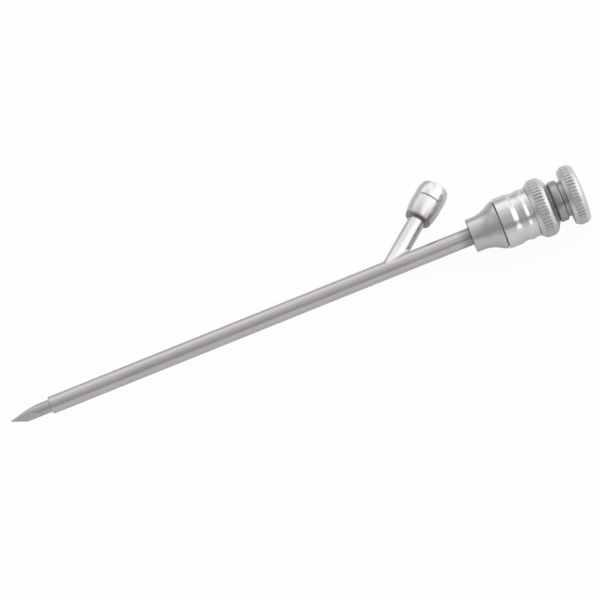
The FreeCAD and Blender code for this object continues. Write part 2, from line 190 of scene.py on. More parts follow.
def closed(build, mesh, place=None, sharp=math.radians(38)):
    # welds, turns the faces outward, puts in place, scales to metres and makes the object
    weld = 1e-5
    thin = 1e-6
    bmesh.ops.remove_doubles(build, verts=build.verts, dist=weld)
    bmesh.ops.dissolve_degenerate(build, edges=build.edges, dist=thin)
    bmesh.ops.recalc_face_normals(build, faces=build.faces)
    if build.calc_volume(signed=True) < 0:
        bmesh.ops.reverse_faces(build, faces=build.faces)
    matrix = Matrix.Scale(mm, 4) @ (place or Matrix.Identity(4))
    bmesh.ops.transform(build, matrix=matrix, verts=build.verts)
    build.to_mesh(mesh)
    build.free()
    mesh.shade_smooth()
    mesh.set_sharp_from_angle(angle=sharp)
    return linked(mesh.name, mesh)


def turned(name, outline, steps=ringSteps, place=None):
    # turns a closed outline about the X axis
    build = bmesh.new()
    rings = []
    for point in outline:
        ring = []
        for i in range(steps):
            ring.append(build.verts.new(polar(point.x, point.y, 2 * math.pi * i / steps)))
        rings.append(ring)
    joinRings(build, rings)
    return closed(build, bpy.data.meshes.new(name), place)


def atStation(name):
    return Matrix.Translation((stations[name], 0, 0))


def onArm(distance):
    # a place on the side arm's axis, that far out from the cannula's axis
    shift = Vector((math.cos(armAngle), math.sin(armAngle), 0)) * distance
    shift.x += armStation
    return Matrix.Translation(shift) @ Matrix.Rotation(armAngle, 4, "Z")


def standsFor(thing, node, body, material):
    thing.data.materials.clear()
    thing.data.materials.append(material)
    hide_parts(node)
    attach(thing, body)


# nodes and materials
def fromHex(text):
    # the linear values of a colour that is written as it is seen, by the sRGB curve
    values = []
    for i in (1, 3, 5):
        share = int(text[i : i + 2], 16) / 255
        values.append(share / 12.92 if share <= 0.04045 else ((share + 0.055) / 1.055) ** 2.4)
    return (*values, 1)


def addNode(tree, kind, settings=None, **links):
    # settings are node properties or input values, links are inputs fed by (node, output)
    node = tree.nodes.new(kind)
    for name, value in (settings or {}).items():
        if isinstance(name, int) or name in node.inputs:
            node.inputs[name].default_value = value
        else:
            setattr(node, name, value)
    for name, (source, output) in links.items():
        tree.links.new(source.outputs[output], node.inputs[name.replace("_", " ")])
    return node


def calculate(tree, operation, *given, kind="ShaderNodeMath"):
    # given are the node's inputs in order, each a value or another node's output
    node = addNode(tree, kind, {"operation": operation})
    for i, item in enumerate(given):
        if isinstance(item, bpy.types.NodeSocket):
            tree.links.new(item, node.inputs[i])
        else:
            node.inputs[i].default_value = item
    return node


def ramp(tree, source, start, end, low=0.0, high=1.0, ease="SMOOTHSTEP"):
    # goes from low where the source is start to high where it is end
    settings = {
        "interpolation_type": ease,
        "From Min": start,
        "From Max": end,
        "To Min": low,
        "To Max": high,
    }
    return addNode(tree, "ShaderNodeMapRange", settings, Value=source)


def newMaterial(name, colour, roughness, metallic=1.0):
    material = bpy.data.materials.new(name)
    material.use_nodes = True
    tree = material.node_tree
    shader = tree.nodes["Principled BSDF"]
    shader.inputs["Base Color"].default_value = fromHex(colour)
    shader.inputs["Metallic"].default_value = metallic
    shader.inputs["Roughness"].default_value = roughness
    return material, tree, shader


def pattern(tree, grain, turn, mottle):
    # gives the place in the piece's own directions, the noise of its marks there, and those
    # marks mixed with larger clouds
    where = addNode(tree, "ShaderNodeTexCoord")
    turnBack = addNode(
        tree, "ShaderNodeMapping", {"Rotation": (0, 0, -turn)}, Vector=(where, "Object")
    )
    squeeze = addNode(
        tree,
        "ShaderNodeMapping",
        {"Scale": tuple(1 / (period * mm) for period in grain)},
        Vector=(turnBack, "Vector"),
    )
    streaks = addNode(
        tree,
        "ShaderNodeTexNoise",
        {"Scale": 1.0, "Detail": 3.0, "Roughness": 0.6},
        Vector=(squeeze, "Vector"),
    )
    clouds = addNode(
        tree,
        "ShaderNodeTexNoise",
        {"Scale": 1 / (mottle * mm), "Detail": 4.0, "Roughness": 0.55},
        Vector=(turnBack, "Vector"),
    )
    both = addNode(
        tree,
        "ShaderNodeMix",
        {"data_type": "FLOAT", "Factor": 0.45},
        A=(streaks, "Fac"),
        B=(clouds, "Fac"),
    )
    return turnBack, streaks, both


def layPaintedLight(tree, tone, place, mask, colour):
    # lays painted shade or a painted highlight over the tone as a colour, as far as the mask says
    over = addNode(tree, "ShaderNodeMix", {"data_type": "RGBA"}, Factor=mask(tree, place))
    tree.links.new(tone.outputs["Result"], over.inputs["A"])
    over.inputs["B"].default_value = fromHex(colour)
    return over


def surface(
    name,
    colour,
    darker,
    roughness,
    spread,
    grain,
    turn=0.0,
    depth=0.004,
    mottle=6.0,
    paintedLight=None,
    metallic=1.0,
):
    # roughness goes up and down by spread; grain is the marks' period along x, y and z, mottle
    # the clouds' period and depth the marks' relief, in millimetres; turn is how far the piece's
    # axis is turned from X; the painted light, where given, is a function that adds a mask, and the
    # colour of the shade or highlight that it lays on
    noiseLow = 0.3
    noiseHigh = 0.7
    relief = {"Strength": 0.35, "Distance": depth * mm}
    material, tree, shader = newMaterial(name, colour, roughness, metallic)
    place, streaks, both = pattern(tree, grain, turn, mottle)
    least = roughness - spread
    most = roughness + spread
    rough = ramp(tree, (both, "Result"), noiseLow, noiseHigh, least, most, "LINEAR")
    tree.links.new(rough.outputs["Result"], shader.inputs["Roughness"])
    tone = addNode(tree, "ShaderNodeMix", {"data_type": "RGBA"}, Factor=(both, "Result"))
    tone.inputs["A"].default_value = fromHex(darker)
    tone.inputs["B"].default_value = fromHex(colour)
    if paintedLight:
        tone = layPaintedLight(tree, tone, place, *paintedLight)
    tree.links.new(tone.outputs["Result"], shader.inputs["Base Color"])
    bump = addNode(tree, "ShaderNodeBump", relief, Height=(streaks, "Fac"))
    tree.links.new(bump.outputs["Normal"], shader.inputs["Normal"])
    return material


def knurlShade(band, depth, start, end):
    # a mask for a knurled band between two stations in millimetres: painted shade that darkens the
    # whole band, and its grooves the most
    inGrooves = 0.5
    onCrests = 0.27

    def mask(tree, where):
        place = where.outputs["Vector"]
        parts = addNode(tree, "ShaderNodeSeparateXYZ", Vector=(where, "Vector"))
        flat = calculate(tree, "MULTIPLY", place, (0, 1, 1), kind="ShaderNodeVectorMath")
        radius = calculate(tree, "LENGTH", flat.outputs["Vector"], kind="ShaderNodeVectorMath")
        source = (radius, "Value")
        floor = (band - depth) * mm
        amount = ramp(tree, source, floor, band * mm, inGrooves, onCrests, "LINEAR")
        middle = (start + end) / 2 * mm
        reach = (end - start) / 2 * mm
        within = calculate(tree, "COMPARE", parts.outputs["X"], middle, reach)
        both = calculate(tree, "MULTIPLY", amount.outputs["Result"], within.outputs[0])
        return both, "Value"

    return mask


def paintedFade(start, end, most, sideAngle=None):
    # a mask for painted shade and painted highlights: full at the station start along the piece's
    # axis and gone at end, in millimetres; where a side is given, only on the side that faces that
    # way, told as an angle from straight up
    faint = 1.2 * mm
    full = 3.0 * mm

    def mask(tree, where):
        parts = addNode(tree, "ShaderNodeSeparateXYZ", Vector=(where, "Vector"))
        fade = ramp(tree, (parts, "X"), start * mm, end * mm, most, 0.0)
        if sideAngle is None:
            return fade, "Result"
        place = where.outputs["Vector"]
        toSide = (0, -math.sin(sideAngle), math.cos(sideAngle))
        facing = calculate(tree, "DOT_PRODUCT", place, toSide, kind="ShaderNodeVectorMath")
        side = ramp(tree, (facing, "Value"), faint, full)
        both = calculate(tree, "MULTIPLY", fade.outputs["Result"], side.outputs["Result"])
        return both, "Value"

    return mask


# The marks of each way of working, as their periods in millimetres along x, y and z, where x is
# the piece's axis: rings round it are short along x, and streaks along it are short across. The
# real ones lie a few hundredths of a millimetre apart. They are drawn coarser, as nothing finer
# shows at the photograph's distance.
marks = {
    "drawn": (9, 0.35, 0.35),
    "turned": (0.3, 8, 8),
    "buffed": (0.5, 9, 9),
    "knurled": (0.4, 2, 2),
    "ground": (0.3, 4, 4),
    "skived": (0.3, 4, 4),
    "molten": (1.5, 1.5, 1.5),
    "pressed": (0.6, 0.15, 0.15),
}
# where painted shade and a painted highlight lie along the pieces; armFoot is how far along the
# side arm's own direction its axis meets the cannula's
armFoot = armStation * math.cos(armAngle)
cupFoot = armFoot + armLength
hubShade = paintedFade(start=stations["cone"] - 0.4, end=stations["cone"] - 4.5, most=0.85)
cupFootShade = paintedFade(start=cupFoot + 0.2, end=cupFoot + 1.1, most=0.9, sideAngle=math.radians(26))
rootHighlight = paintedFade(start=armFoot + 3.0, end=armFoot + 9.0, most=0.8)

# cannula: drawn and polished lengthwise, so its highlight is soft across and has faint streaks
# along; painted shade, grey brown, darkens it beside the hub
satinTube = surface(
    "satinDrawnSteel",
    colour="#c4c0c4",
    darker="#b4b0b4",
    roughness=0.30,
    spread=0.05,
    grain=marks["drawn"],
    paintedLight=(hubShade, "#8e8886"),
)
# cone: turned and brushed round, so rings of fine marks spread its highlight lengthwise
satinCone = surface(
    "satinTurnedSteel",
    colour="#c6c4c6",
    darker="#b6b4b6",
    roughness=0.26,
    spread=0.05,
    grain=marks["turned"],
)
# barrel: turned and buffed, so it mirrors the studio sharply, with the tool's rings just seen
polishedSteel = surface(
    "polishedTurnedSteel",
    colour="#d6d4d5",
    darker="#cbc9ca",
    roughness=0.13,
    spread=0.04,
    grain=marks["buffed"],
    depth=0.002,
)
# mouth ring: buffed less than the barrel, so its reflections have softer edges
polishedRing = surface(
    "polishedRingSteel",
    colour="#d6d4d6",
    darker="#cac8ca",
    roughness=0.20,
    spread=0.05,
    grain=marks["buffed"],
    turn=armAngle,
    depth=0.002,
)
# port's cup: turned and rubbed to a satin, so it shades softly; painted shade darkens its foot,
# on the side that faces the camera
satinCup = surface(
    "satinCupSteel",
    colour="#d2cfd1",
    darker="#c6c3c5",
    roughness=0.29,
    spread=0.05,
    grain=marks["buffed"],
    turn=armAngle,
    depth=0.002,
    paintedLight=(cupFootShade, "#8b8688"),
)
# side arm: drawn tube with a soft sheen along it, and a painted highlight, pale and warm, near its
# root
satinArm = surface(
    "satinArmSteel",
    colour="#d2d0d2",
    darker="#c6c4c6",
    roughness=0.27,
    spread=0.05,
    grain=marks["drawn"],
    turn=armAngle,
    paintedLight=(rootHighlight, "#dcd6d1"),
)
# nut and knob: turned bright, and painted shade darkens the knurled band, its grooves the most,
# so the teeth read as fine dark lines
knurledSteel = {}
for name, band in bands.items():
    knurlShadeMask = knurlShade(band["radius"], knurlDepth, band["start"], band["end"])
    knurledSteel[name] = surface(
        "knurledSteel." + name,
        colour="#cfccce",
        darker="#c1bec0",
        roughness=0.27,
        spread=0.05,
        grain=marks["knurled"],
        depth=0.003,
        paintedLight=(knurlShadeMask, "#8b8789"),
    )
# stop collar and washers: turned and left as the tool made them, so they look a dark grey, which on
# the collar is partly painted shade of its recess between the nut and the knob
mattShadedSteel = surface(
    "mattTurnedSteel",
    colour="#a5a3a4",
    darker="#969495",
    roughness=0.24,
    spread=0.05,
    grain=marks["turned"],
)
# obturator: ground, so its facets are flat and evenly grey, with no clear reflection
groundSteel = surface(
    "groundRodSteel",
    colour="#b6b4b8",
    darker="#a5a3a7",
    roughness=0.36,
    spread=0.06,
    grain=marks["ground"],
)
# silver solder: run by the torch and wiped, so it has a slightly warm, uneven sheen
silverSolder = surface(
    "silverSolder",
    colour="#cac9c8",
    darker="#bebcbb",
    roughness=0.32,
    spread=0.06,
    grain=marks["molten"],
)
# the same solder, tarnished in a corner and darkened further by painted shade there, which reads as a
# dark line
tarnishedShadedSolder = surface(
    "tarnishedShadedSolder",
    colour="#908d8d",
    darker="#7f7c7c",
    roughness=0.36,
    spread=0.06,
    grain=marks["molten"],
)
# inside the gland: a turned brass sleeve, yellow with fine rings
brass = surface(
    "turnedBrass",
    colour="#c9a85c",
    darker="#b8964a",
    roughness=0.28,
    spread=0.05,
    grain=marks["turned"],
)
# skived PTFE rings: white, waxy and nearly without a highlight
ptfe = surface(
    "skivedPtfe",
    colour="#e6e4df",
    darker="#dad7d0",
    roughness=0.5,
    spread=0.06,
    grain=marks["skived"],
    mottle=2.0,
    metallic=0.0,
)
# pressed fibre gasket: matt grey, with its fibres as short flecks
fibre = surface(
    "compressedFibre",
    colour="#8d8a8b",
    darker="#6f6c6d",
    roughness=0.7,
    spread=0.08,
    grain=marks["pressed"],
    mottle=1.0,
    metallic=0.0,
)
print("materials made")


# the pieces
def makeTube():
    size = {"end": 131.0, "tip": 0.35, "lead": 1.0, "edge": 0.08}
    drill = {"radius": 1.6, "length": 6.0, "steps": 48}
    outline = outlineOf(
        [
            (0, tubeBore),
            (0, tubeRadius - size["tip"]),
            (size["tip"], tubeRadius, "smooth"),
            (size["tip"] + size["lead"], tubeRadius),
            (size["end"], tubeRadius),
            (size["end"], tubeBore),
        ]
    )
    tube = turned("cannulaTube", softened(outline, size["edge"]))
    corners = ((0, 0), (0, drill["radius"]), (drill["length"], drill["radius"]), (drill["length"], 0))
    tool = turned("drill", [Vector(corner) for corner in corners], drill["steps"], onArm(0))
    cut = tube.modifiers.new("hole", "BOOLEAN")
    cut.operation = "DIFFERENCE"
    cut.solver = "EXACT"
    cut.object = tool
    drilled = withModifiers(tube)
    tube.modifiers.clear()
    tube.data = drilled
    bpy.data.objects.remove(tool)
    standsFor(tube, "cannula_tube", "cannula", satinTube)


def saddle(radius, fromMain, angle):
    # how far out along the arm a cylinder of that radius meets one of radius fromMain
    across = radius * math.sin(angle)
    lean = radius * math.cos(angle) * math.cos(armAngle)
    return (math.sqrt(fromMain**2 - across**2) - lean) / math.sin(armAngle)


def makeArm():
    # each ring is a radius and how far along the arm it lies, or None for the coped root
    seat = 3.6
    end = armLength + seat
    build = bmesh.new()
    rings = []
    for radius, along in ((armBore, None), (armRadius, None), (armRadius, end), (armBore, end)):
        ring = []
        for i in range(ringSteps):
            angle = 2 * math.pi * i / ringSteps
            reach = saddle(radius, tubeRadius, angle) if along is None else along
            ring.append(build.verts.new(polar(reach, radius, angle)))
        rings.append(ring)
    joinRings(build, rings)
    arm = closed(build, bpy.data.meshes.new("sideArmTube"), onArm(0))
    standsFor(arm, "side_arm_tube", "cannula", satinArm)


def makeSaddleSolder():
    # a fillet as a ball leaves it that rolls in the corner between the two tubes
    size = {"round": 0.7, "arc": 10, "sharp": math.radians(60)}
    ball = size["round"]
    back = Matrix.Rotation(-armAngle, 3, "Z")
    build = bmesh.new()
    rings = []
    for i in range(ringSteps):
        angle = 2 * math.pi * i / ringSteps
        reach = saddle(armRadius + ball, tubeRadius + ball, angle)
        centre = polar(reach, armRadius + ball, angle)
        toArm = polar(0, -1, angle)
        main = back.inverted() @ centre
        toTube = back @ Vector((0, -main.y, -main.z)).normalized()
        corner = polar(saddle(armRadius, tubeRadius, angle), armRadius, angle)
        ring = [build.verts.new(corner)]
        for k in range(size["arc"] + 1):
            way = toArm.slerp(toTube, k / size["arc"])
            ring.append(build.verts.new(centre + way * ball))
        rings.append(ring)
    joinRings(build, rings)
    solder = closed(build, bpy.data.meshes.new("sideArmBraze"), onArm(0), size["sharp"])
    standsFor(solder, "side_arm_braze", "cannula", silverSolder)


portCup = {
    "foot": 3.285,
    "round": 0.35,
    "rise": 0.46,
    "joint": 4.36,
    "length": 6.65,
    "chamfer": 0.26,
    "nose": 3.15,
    "noseLength": 1.8,
    "seat": 3.6,
    "edge": 0.12,
}


def makeCup():
    size = portCup
    outline = outlineOf(
        [
            (0, armRadius),
            (0, size["foot"]),
            (size["round"], size["foot"] + size["rise"], "smooth"),
            (size["length"] - size["chamfer"], size["joint"], "smooth"),
            (size["length"], size["joint"] - size["chamfer"]),
            (size["length"], size["nose"]),
            (size["length"] + size["noseLength"], size["nose"]),
            (size["length"] + size["noseLength"], portBore),
            (size["seat"], portBore),
            (size["seat"], armRadius),
        ]
    )
    cup = turned("portCup", softened(outline, size["edge"]), place=onArm(armLength))
    standsFor(cup, "port_socket", "cannula", satinCup)


def makeMouthRing():
    # pushed over the cup's nose and up to its joint
    size = {
        "length": 4.6,
        "swell": 1.0,
        "swellRadius": 4.42,
        "mouth": 3.92,
        "round": 0.12,
        "chamfer": 0.35,
    }
    outline = outlineOf(
        [
            (0, portCup["nose"]),
            (0, portCup["joint"] - portCup["chamfer"]),
            (portCup["chamfer"], portCup["joint"]),
            (size["swell"], size["swellRadius"]),
            (size["length"] - size["round"], size["mouth"], "smooth"),
            (size["length"], size["mouth"] - size["round"], "smooth"),
            (size["length"], portBore + size["chamfer"]),
            (size["length"] - size["chamfer"], portBore),
            (portCup["noseLength"], portBore),
            (portCup["noseLength"], portCup["nose"]),
        ]
    )
    place = onArm(armLength + portCup["length"])
    ring = turned("portRing", softened(outline, portCup["edge"]), place=place)
    standsFor(ring, "port_ring", "cannula", polishedRing)


def makeSolderRing(name, node, radius, leg, place):
    # hollow fillet between a face and the tube that leaves it
    steps = 6
    outline = [Vector((0, radius)), Vector((-leg, radius))]
    for i in range(1, steps + 1):
        angle = math.pi / 2 * i / steps
        outline.append(
            Vector((-leg + leg * math.sin(angle), radius + leg - leg * math.cos(angle)))
        )
    ring = turned(name, outline, place=place)
    standsFor(ring, node, "cannula", tarnishedShadedSolder)


def makeCone():
    size = {
        "collar": 4.83,
        "collarLength": 2.0,
        "chamfer": 0.2,
        "flare": 6.2,
        "flareEnd": 6.6,
        "rear": 7.05,
        "length": 8.65,
        "seam": 0.15,
        "nose": 4.6,
        "noseEnd": 12.85,
        "seat": 5.0,
        "edge": 0.05,
    }
    outline = outlineOf(
        [
            (0, tubeRadius),
            (0, size["collar"] - size["chamfer"]),
            (size["chamfer"], size["collar"]),
            (size["collarLength"], size["collar"]),
            (size["flareEnd"], size["flare"], "smooth"),
            (size["length"] - size["seam"], size["rear"], "smooth"),
            (size["length"], size["rear"] - size["seam"]),
            (size["length"], size["nose"]),
            (size["noseEnd"], size["nose"]),
            (size["noseEnd"], passRadius),
            (size["seat"], passRadius),
            (size["seat"], tubeRadius),
        ]
    )
    cone = turned("hubCone", softened(outline, size["edge"]), place=atStation("cone"))
    standsFor(cone, "hub_cone", "cannula", satinCone)


def makeBarrel():
    size = {
        "socket": 4.65,
        "socketEnd": 4.5,
        "floor": 5.9,
        "chamber": 4.2,
        "thread": 5.9,
        "bead": 7.35,
        "swell": 0.02,
        "chamfer": 0.3,
        "beadEnd": 3.4,
        "fall": 1.7,
        "groove": 6.98,
        "grooveFlat": 0.65,
        "rise": 1.2,
        "rearBead": 7.22,
        "rearFlat": 0.2,
        "rearFall": 1.1,
        "shoulder": 7.05,
        "shoulderEnd": 9.3,
        "end": 13.0,
        "edge": 0.05,
    }
    fallEnd = size["beadEnd"] + size["fall"]
    grooveEnd = fallEnd + size["grooveFlat"]
    riseEnd = grooveEnd + size["rise"]
    rearEnd = riseEnd + size["rearFlat"]
    shoulderStart = rearEnd + size["rearFall"]
    outline = outlineOf(
        [
            (0, size["socket"]),
            (0, size["bead"] - size["chamfer"]),
            (size["chamfer"], size["bead"] - size["swell"], "smooth"),
            (size["beadEnd"], size["bead"]),
            *ogee(fallEnd, size["fall"], size["bead"], size["groove"]),
            (grooveEnd, size["groove"]),
            *ogee(riseEnd, size["rise"], size["groove"], size["rearBead"]),
            (rearEnd, size["rearBead"]),
            *ogee(shoulderStart, size["rearFall"], size["rearBead"], size["shoulder"]),
            (size["shoulderEnd"], size["shoulder"]),
            (size["shoulderEnd"], size["thread"]),
            (size["end"], size["thread"]),
            (size["end"], size["chamber"]),
            (size["floor"], size["chamber"]),
            (size["floor"], passRadius),
            (size["socketEnd"], passRadius),
            (size["socketEnd"], size["socket"]),
        ]
    )
    barrel = turned("glandBarrel", softened(outline, size["edge"]), place=atStation("barrel"))
    standsFor(barrel, "gland_barrel", "gland_barrel", polishedSteel)


# the knurl: V grooves cut straight along a band, with crests that are slightly rounded; skin is
# how far under the grooves a point of the outline still belongs to the outside, and longest the
# longest stretch of outline that a groove crosses in one step
knurl = {
    "teeth": 50,
    "depth": knurlDepth,
    "halfAngle": math.radians(56),
    "crest": 0.05,
    "samples": 16,
    "skin": 1.5,
    "longest": 0.16,
    "edge": 0.06,
    "weld": 1e-4,
    "sharp": math.radians(50),
}


def repeatTree():
    # Geometry Nodes: one tooth's sector, repeated round the X axis and welded
    tree = bpy.data.node_groups.new("knurlRound", "GeometryNodeTree")
    kinds = {"Geometry": "Geometry", "Teeth": "Int", "Weld": "Float", "Finish": "Material"}
    for name, kind in kinds.items():
        tree.interface.new_socket(name, in_out="INPUT", socket_type="NodeSocket" + kind)
    tree.interface.new_socket("Geometry", in_out="OUTPUT", socket_type="NodeSocketGeometry")
    start = addNode(tree, "NodeGroupInput")
    line = addNode(tree, "GeometryNodeMeshLine", {"Offset": (0, 0, 0)}, Count=(start, "Teeth"))
    number = addNode(tree, "GeometryNodeInputIndex")
    step = calculate(tree, "DIVIDE", 2 * math.pi, start.outputs["Teeth"])
    angle = calculate(tree, "MULTIPLY", step.outputs[0], number.outputs[0])
    spin = addNode(tree, "ShaderNodeCombineXYZ", X=(angle, "Value"))
    copies = addNode(
        tree,
        "GeometryNodeInstanceOnPoints",
        Points=(line, "Mesh"),
        Instance=(start, "Geometry"),
        Rotation=(spin, "Vector"),
    )
    real = addNode(tree, "GeometryNodeRealizeInstances", Geometry=(copies, "Instances"))
    weld = addNode(
        tree, "GeometryNodeMergeByDistance", Geometry=(real, "Geometry"), Distance=(start, "Weld")
    )
    painted = addNode(
        tree, "GeometryNodeSetMaterial", Geometry=(weld, "Geometry"), Material=(start, "Finish")
    )
    addNode(tree, "NodeGroupOutput", Geometry=(painted, "Geometry"))
    return tree


def toothHeight(band, angle):
    # radius of the knurled surface at an angle from the middle of a groove
    across = abs(math.sin(angle)) * band
    rise = across / math.tan(knurl["halfAngle"])
    radius = band - knurl["depth"] + rise
    soft = knurl["crest"]
    if radius > band + soft:
        return band
    if radius < band - soft:
        return radius
    share = (radius - band + soft) / (2 * soft)
    return band - soft + 2 * soft * (share - share * share / 2)


def divided(points, low, high):
    # adds points to the stretches that the knurl crosses, so that the grooves run out cleanly
    made = []
    for i, here in enumerate(points):
        after = points[(i + 1) % len(points)]
        made.append(here)
        outer = min(here.y, after.y) > low and min(here.x, after.x) < high
        count = math.ceil((after - here).length / knurl["longest"]) if outer else 1
        for k in range(1, count):
            made.append(here.lerp(after, k / count))
    return made


def toothSector(name, outline, band, cutTo):
    # one sector of a turned piece, whose outside is cut by half a groove on each side
    pitch = 2 * math.pi / knurl["teeth"]
    samples = knurl["samples"]
    inside = band - 2 * knurl["depth"] - knurl["skin"]
    mesh = bpy.data.meshes.new(name + "Sector")
    build = bmesh.new()
    columns = []
    for i in range(samples + 1):
        angle = pitch * (i / samples - 0.5)
        tooth = toothHeight(band, pitch / 2 - abs(angle))
        column = []
        for point in outline:
            cut = point.x <= cutTo and point.y > inside
            radius = min(point.y, tooth) if cut else point.y
            column.append(build.verts.new(polar(point.x, radius, angle)))
        columns.append(column)
    joinRings(build, columns, around=False)
    build.to_mesh(mesh)
    build.free()
    return linked(name + "Sector", mesh)


def knurled(name, outline, size, cutTo, place, material):
    fine = divided(softened(outline, knurl["edge"]), size["low"], cutTo)
    sector = toothSector(name, fine, size["band"], cutTo)
    repeat = sector.modifiers.new("knurl", "NODES")
    repeat.node_group = knurlTree
    values = {"Teeth": knurl["teeth"], "Weld": knurl["weld"], "Finish": material}
    for item in knurlTree.interface.items_tree:
        if item.name in values and item.in_out == "INPUT":
            repeat[item.identifier] = values[item.name]
    whole = withModifiers(sector)
    bpy.data.objects.remove(sector)
    build = bmesh.new()
    build.from_mesh(whole)
    whole.name = name
    return closed(build, whole, place, knurl["sharp"])


def makeNut():
    size = {
        "thread": 5.95,
        "face": 7.3,
        "bevel": 1.45,
        "band": bands["nut"]["radius"],
        "bandEnd": 3.25,
        "low": 7.05,
        "domeEdge": 5.1,
        "domeEdgeRadius": 7.35,
        "length": 6.3,
        "flat": 5.3,
        "cavity": 4.5,
    }
    outline = outlineOf(
        [
            (0, size["thread"]),
            (0, size["face"]),
            (size["bevel"], size["band"]),
            (size["bandEnd"], size["band"]),
            (size["domeEdge"], size["domeEdgeRadius"], "smooth"),
            (size["length"], size["flat"]),
            (size["length"], passRadius),
            (size["cavity"], passRadius),
            (size["cavity"], size["thread"]),
        ]
    )
    steel = knurledSteel["nut"]
    nut = knurled("glandNut", outline, size, size["domeEdge"], atStation("nut"), steel)
    standsFor(nut, "gland_nut", "gland_nut", steel)


def makeKnob():
    size = {
        "face": 7.75,
        "bevel": 1.3,
        "band": bands["knob"]["radius"],
        "bandEnd": 2.7,
        "low": 7.3,
        "edge": 7.45,
        "edgeEnd": 4.5,
        "crown": 5.1,
        "crownSteps": 10,
        "seat": 3.2,
    }
    outline = outlineOf(
        [
            (0, rodRadius),
            (0, size["face"]),
            (size["bevel"], size["band"]),
            (size["bandEnd"], size["band"]),
            (size["edgeEnd"], size["edge"], "smooth"),
        ]
    )
    rise = size["crown"] - size["edgeEnd"]
    bend = (size["edge"] ** 2 + rise**2) / (2 * rise)
    for i in range(1, size["crownSteps"] + 1):
        radius = size["edge"] * (1 - i / size["crownSteps"])
        outline.append(Vector((size["crown"] - bend + math.sqrt(bend**2 - radius**2), radius)))
    outline += [Vector((size["seat"], 0)), Vector((size["seat"], rodRadius))]
    steel = knurledSteel["knob"]
    knob = knurled("rodKnob", outline, size, size["edgeEnd"], atStation("knob"), steel)
    standsFor(knob, "knob", "obturator", steel)


def makeCollar():
    size = {"flange": 5.9, "width": 2.5, "round": 0.55, "neck": 5.15, "end": 3.7, "edge": 0.05}
    outline = outlineOf(
        [
            (0, rodRadius),
            (0, size["flange"] - size["round"]),
            (size["round"], size["flange"], "smooth"),
            (size["width"] - size["round"], size["flange"]),
            (size["width"], size["flange"] - size["round"], "smooth"),
            (size["width"], size["neck"]),
            (size["end"], size["neck"]),
            (size["end"], rodRadius),
        ]
    )
    collar = turned("stopCollar", softened(outline, size["edge"]), place=atStation("collar"))
    standsFor(collar, "stop_collar", "obturator", mattShadedSteel)


def groundFacets(build, tip, lean, count, turn):
    # cuts the rod's end to a point by planes that lean from its axis and meet at the tip
    for i in range(count):
        spin = Matrix.Rotation(turn + 2 * math.pi * i / count, 3, "X")
        done = bmesh.ops.bisect_plane(
            build,
            geom=build.verts[:] + build.edges[:] + build.faces[:],
            plane_co=(tip * mm, 0, 0),
            plane_no=spin @ Vector((-math.sin(lean), math.cos(lean), 0)),
            clear_outer=True,
        )
        rim = [item for item in done["geom_cut"] if isinstance(item, bmesh.types.BMEdge)]
        bmesh.ops.holes_fill(build, edges=rim)


def makeRod():
    size = {"tip": -12.0, "end": 157.65, "chamfer": 0.3, "sharp": math.radians(8)}
    facets = {"lean": math.radians(11.4), "count": 3, "turn": math.radians(47.5)}
    outline = outlineOf(
        [
            (size["tip"], 0),
            (size["tip"], rodRadius),
            (size["end"] - size["chamfer"], rodRadius),
            (size["end"], rodRadius - size["chamfer"]),
            (size["end"], 0),
        ]
    )
    rod = turned("obturatorRod", outline)
    build = bmesh.new()
    build.from_mesh(rod.data)
    groundFacets(build, size["tip"], **facets)
    build.to_mesh(rod.data)
    build.free()
    rod.data.shade_smooth()
    rod.data.set_sharp_from_angle(angle=size["sharp"])
    standsFor(rod, "obturator_rod", "obturator", groundSteel)


knurlTree = repeatTree()
makeTube()
makeArm()
makeSaddleSolder()
makeCup()
makeMouthRing()
makeSolderRing("portBraze", "port_braze", armRadius, leg=0.3, place=onArm(armLength))
makeCone()
makeSolderRing("hubBraze", "hub_braze", tubeRadius, leg=0.35, place=atStation("cone"))
makeBarrel()
makeNut()
makeKnob()
makeCollar()
makeRod()
# the packing inside the gland and the washers are the solids themselves
solids = {
    "hub_gasket": fibre,
    "packing_seat": mattShadedSteel,
    "packing_ring_front": ptfe,
    "packing_ring_middle": ptfe,
    "packing_ring_rear": ptfe,
    "gland_follower": brass,
    "thrust_washer": mattShadedSteel,
}
for name, material in solids.items():
    nodes[name].material_slots[0].material = material
print("pieces made")


# floor, light and camera, with their places in metres
def mirroredCard(tree, size):
    # how bright metal mirrors the card: more in front of the trocar and beyond the knob
    where = addNode(tree, "ShaderNodeTexCoord")
    parts = addNode(tree, "ShaderNodeSeparateXYZ", Vector=(where, "Object"))
    fades = []
    for axis, side in (("Y", "front"), ("X", "beyond")):
        start, end, most = size[side]
        fade = ramp(tree, (parts, axis), start, end, size["beneath"], most)
        fades.append(fade.outputs["Result"])
    return calculate(tree, "MAXIMUM", *fades)


